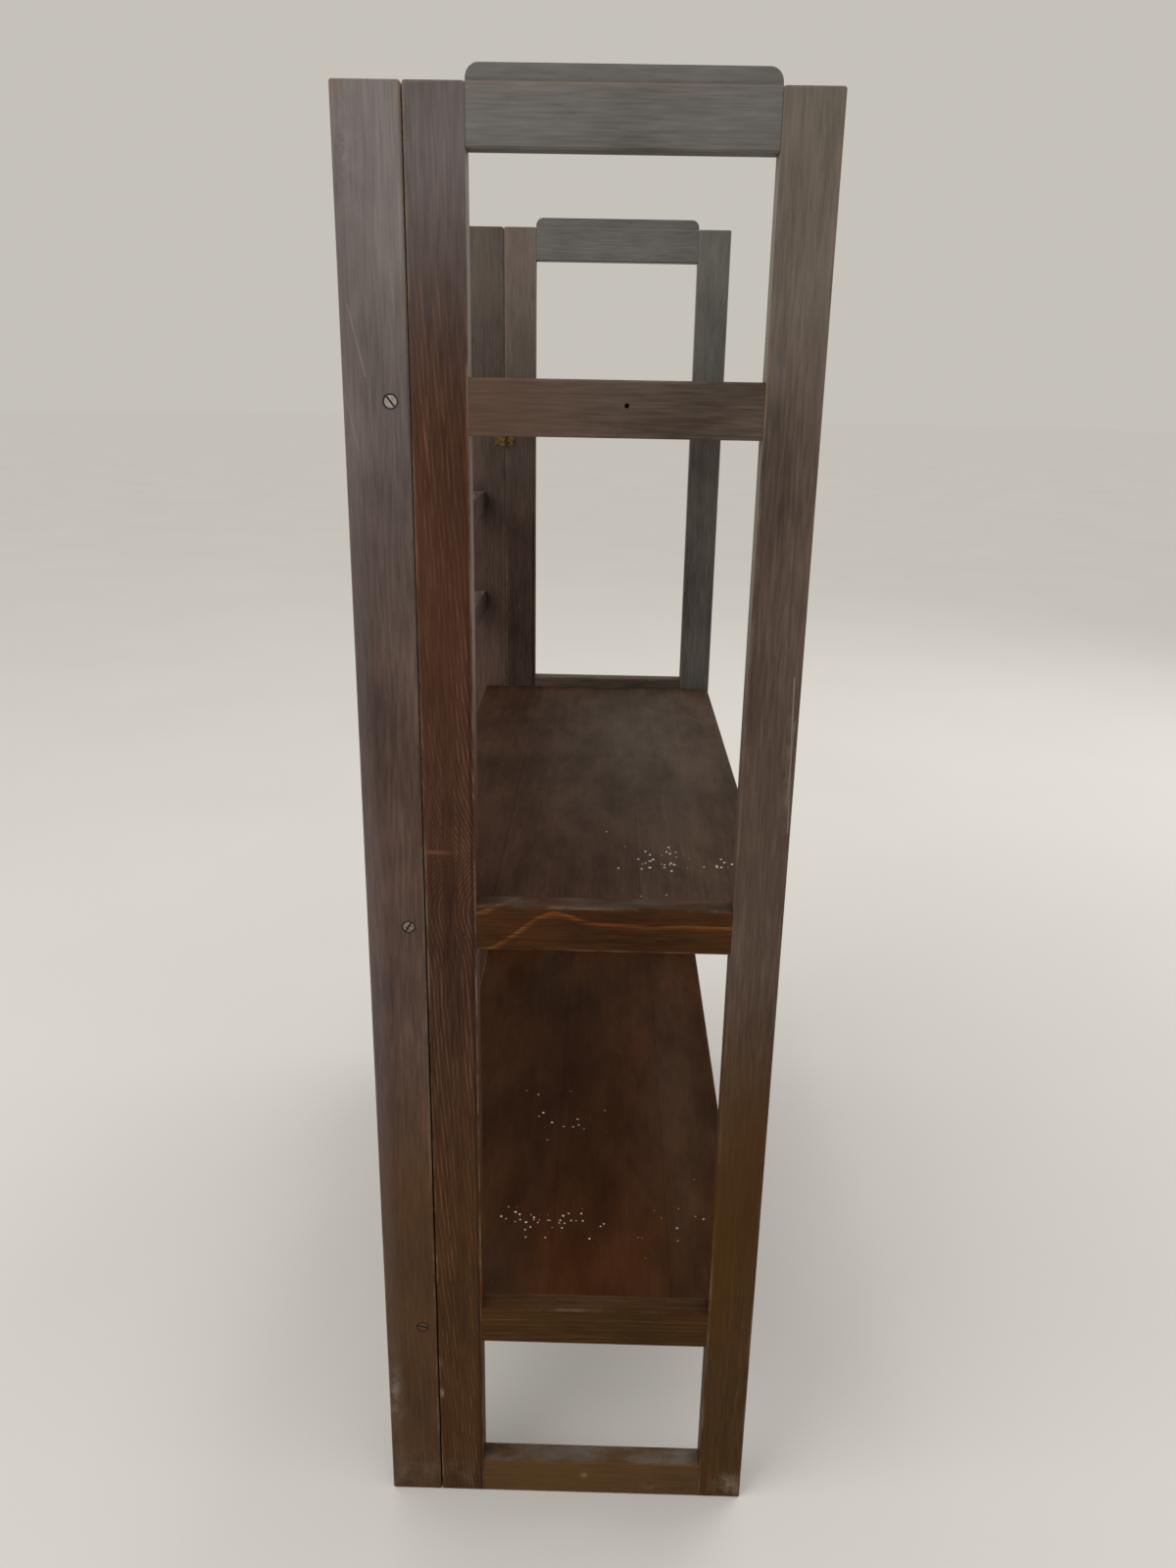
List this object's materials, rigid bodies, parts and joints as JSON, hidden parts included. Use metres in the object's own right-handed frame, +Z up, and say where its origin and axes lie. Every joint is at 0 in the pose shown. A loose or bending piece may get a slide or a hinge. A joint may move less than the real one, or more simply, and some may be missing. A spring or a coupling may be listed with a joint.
{
  "type": "folding bookcase",
  "caption": "Free-standing folding bookcase in dark stained wood: open end frames on brass hinges, slatted back, and shelves that swing up on pivot screws.",
  "frame": {"origin": "on the floor under the middle of the unit", "axes": "+Z up, -Y towards the front, +X along the length towards the right-hand end seen from the front"},
  "size_m": [0.706, 0.2964, 1.075],
  "materials": {
    "upright_timber": "dark walnut stain, satin, worn at the arrises",
    "rail_timber": "dark walnut stain, satin",
    "shelf_timber": "dark walnut stain, satin, specked",
    "slat_timber": "dark walnut stain, satin",
    "cleat_timber": "dark walnut stain, satin",
    "hinge_brass": "aged brass",
    "small_screw_brass": "aged brass",
    "pivot_steel": "old pitted steel"
  },
  "bodies": {
    "back_frame": {"back_slat_lower_bay_high": "slat_timber", "back_slat_lower_bay_low": "slat_timber", "back_slat_middle_bay_high": "slat_timber", "back_slat_middle_bay_low": "slat_timber", "left_back_post": "upright_timber", "left_lower_hinge_pin": "hinge_brass", "left_lower_hinge_post_leaf": "hinge_brass", "left_post_leaf_screws": "small_screw_brass", "left_upper_hinge_pin": "hinge_brass", "left_upper_hinge_post_leaf": "hinge_brass", "right_back_post": "upright_timber", "right_lower_hinge_pin": "hinge_brass", "right_lower_hinge_post_leaf": "hinge_brass", "right_post_leaf_screws": "small_screw_brass", "right_upper_hinge_pin": "hinge_brass", "right_upper_hinge_post_leaf": "hinge_brass"},
    "left_end_frame": {"left_bottom_rail": "rail_timber", "left_cleat_screws": "small_screw_brass", "left_frame_leaf_screws": "small_screw_brass", "left_front_stile": "upright_timber", "left_lower_hinge_frame_leaf": "hinge_brass", "left_lower_rail": "rail_timber", "left_lower_shelf_cleat": "cleat_timber", "left_middle_rail": "rail_timber", "left_middle_shelf_cleat": "cleat_timber", "left_rear_stile": "upright_timber", "left_top_rail": "rail_timber", "left_top_shelf_cleat": "cleat_timber", "left_upper_hinge_frame_leaf": "hinge_brass", "left_upper_rail": "rail_timber"},
    "right_end_frame": {"right_bottom_rail": "rail_timber", "right_cleat_screws": "small_screw_brass", "right_frame_leaf_screws": "small_screw_brass", "right_front_stile": "upright_timber", "right_lower_hinge_frame_leaf": "hinge_brass", "right_lower_rail": "rail_timber", "right_lower_shelf_cleat": "cleat_timber", "right_middle_rail": "rail_timber", "right_middle_shelf_cleat": "cleat_timber", "right_rear_stile": "upright_timber", "right_top_rail": "rail_timber", "right_top_shelf_cleat": "cleat_timber", "right_upper_hinge_frame_leaf": "hinge_brass", "right_upper_rail": "rail_timber"},
    "top_shelf": {"top_shelf_board": "shelf_timber", "top_shelf_pivot_screws": "pivot_steel"},
    "middle_shelf": {"middle_shelf_board": "shelf_timber", "middle_shelf_pivot_screws": "pivot_steel"},
    "lower_shelf": {"lower_shelf_board": "shelf_timber", "lower_shelf_pivot_screws": "pivot_steel"}
  },
  "joints": [
    {"name": "left_end_hinge", "type": "hinge", "parent": "back_frame", "child": "left_end_frame", "pos_m": [-0.3325, 0.10675, 0.5], "axis": [0, 0, 1], "range_deg": [-2, 0.3]},
    {"name": "right_end_hinge", "type": "hinge", "parent": "back_frame", "child": "right_end_frame", "pos_m": [0.3325, 0.10675, 0.5], "axis": [0, 0, -1], "range_deg": [-2, 0.3]},
    {"name": "top_shelf_pivot", "type": "hinge", "parent": "back_frame", "child": "top_shelf", "pos_m": [0, 0.11875, 0.8895], "axis": [-1, 0, 0], "range_deg": [0, 90]},
    {"name": "middle_shelf_pivot", "type": "hinge", "parent": "back_frame", "child": "middle_shelf", "pos_m": [0, 0.11875, 0.5315], "axis": [-1, 0, 0], "range_deg": [0, 90]},
    {"name": "lower_shelf_pivot", "type": "hinge", "parent": "back_frame", "child": "lower_shelf", "pos_m": [0, 0.11875, 0.1735], "axis": [-1, 0, 0], "range_deg": [0, 90]}
  ]
}
